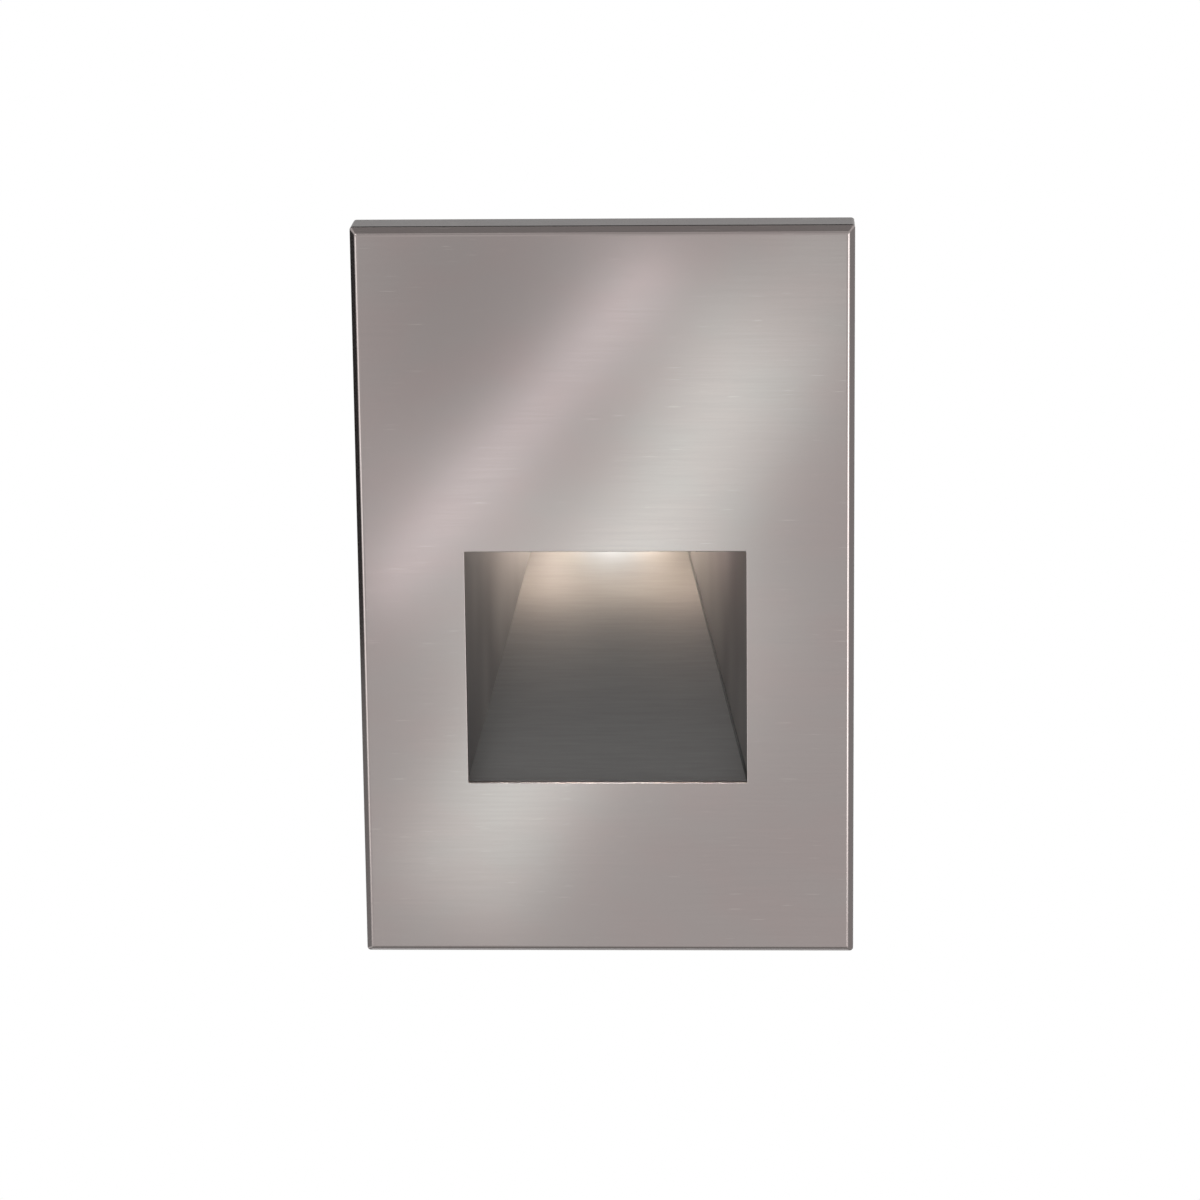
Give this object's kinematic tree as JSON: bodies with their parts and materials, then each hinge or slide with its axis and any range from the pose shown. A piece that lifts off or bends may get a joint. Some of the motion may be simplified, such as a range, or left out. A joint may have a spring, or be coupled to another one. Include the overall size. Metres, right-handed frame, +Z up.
{
  "type": "step light",
  "caption": "Recessed step light: brushed steel faceplate with a bevelled edge, a rectangular opening and a sloped reflector lit from above, on a box-mounted housing.",
  "frame": {"origin": "middle of the two wall-box screw slots, on the wall plane at the bracket's rear face", "axes": "+X to the right seen from the front, +Y into the wall, +Z up; the faceplate's front faces -Y"},
  "size_m": [0.0888, 0.0552, 0.134],
  "materials": {
    "brushed_stainless": "stainless sheet, brushed from side to side, with a bevelled edge",
    "satin_scoop": "bent stainless sheet with a darker satin finish",
    "foam_seal": "closed-cell foam strip",
    "silicone_seal": "cut silicone sheet",
    "stainless_screws": "cold-headed stainless steel, tumbled",
    "zinc_screws": "zinc plate with a faint straw tint",
    "frosted_glass": "acid-etched diffusing glass, lit",
    "white_plastic": "moulded white polyester",
    "led_board_white": "white solder mask on an aluminium core",
    "led_phosphor": "phosphor under silicone",
    "thermal_pad": "soft filled silicone",
    "extruded_aluminium": "extruded aluminium, natural anodising",
    "die_cast_housing": "die-cast aluminium, shot-blasted",
    "insulating_film": "black polypropylene film",
    "circuit_board": "green solder mask on glass-epoxy",
    "ferrite": "ground ferrite",
    "winding_tape": "amber polyester tape",
    "capacitor_sleeve": "shrunk dark blue sleeve with a bare aluminium top",
    "film_case": "yellow flame-retardant box",
    "black_epoxy": "moulded epoxy",
    "copper_wire": "enamelled copper wire in level turns",
    "blue_lacquer": "dipped epoxy coat",
    "fuse_ceramic": "white ceramic tube with plated caps",
    "chip_ceramic": "fired ceramic chip parts",
    "green_plastic": "moulded green polyamide",
    "red_insulation": "extruded silicone lead insulation",
    "black_insulation": "extruded silicone lead insulation",
    "black_rubber": "moulded rubber",
    "green_screw": "steel in green lacquer",
    "zinc_plated_steel": "pressed sheet steel, bright zinc plated"
  },
  "bodies": {
    "root": {"faceplate": "brushed_stainless", "wall_gasket": "foam_seal", "set_screws": "stainless_screws", "light_scoop": "satin_scoop", "scoop_gasket": "silicone_seal", "lens_gasket": "silicone_seal", "lens": "frosted_glass", "lens_retainer": "white_plastic", "led_board": "led_board_white", "led_emitters": "led_phosphor", "thermal_pad": "thermal_pad", "heat_sink": "extruded_aluminium", "roof_pad": "thermal_pad", "stack_screws": "stainless_screws", "housing": "die_cast_housing", "housing_gasket": "silicone_seal", "housing_screws": "stainless_screws", "driver_insulator": "insulating_film", "driver_board": "circuit_board", "driver_screws": "zinc_screws", "transformer_core": "ferrite", "transformer_winding": "winding_tape", "electrolytic_capacitors": "capacitor_sleeve", "film_capacitor": "film_case", "bridge_rectifier": "black_epoxy", "choke": "copper_wire", "varistor": "blue_lacquer", "fuse": "fuse_ceramic", "driver_chip": "black_epoxy", "switch_transistor": "black_epoxy", "chip_parts": "chip_ceramic", "input_terminal": "green_plastic", "led_connector": "white_plastic", "led_lead_positive": "red_insulation", "led_lead_negative": "black_insulation", "back_cover_gasket": "silicone_seal", "back_cover": "die_cast_housing", "back_cover_screws": "stainless_screws", "lead_bush": "black_rubber", "earth_screw": "green_screw", "earth_washer": "zinc_screws", "mounting_bracket": "zinc_plated_steel"}
  },
  "joints": []
}
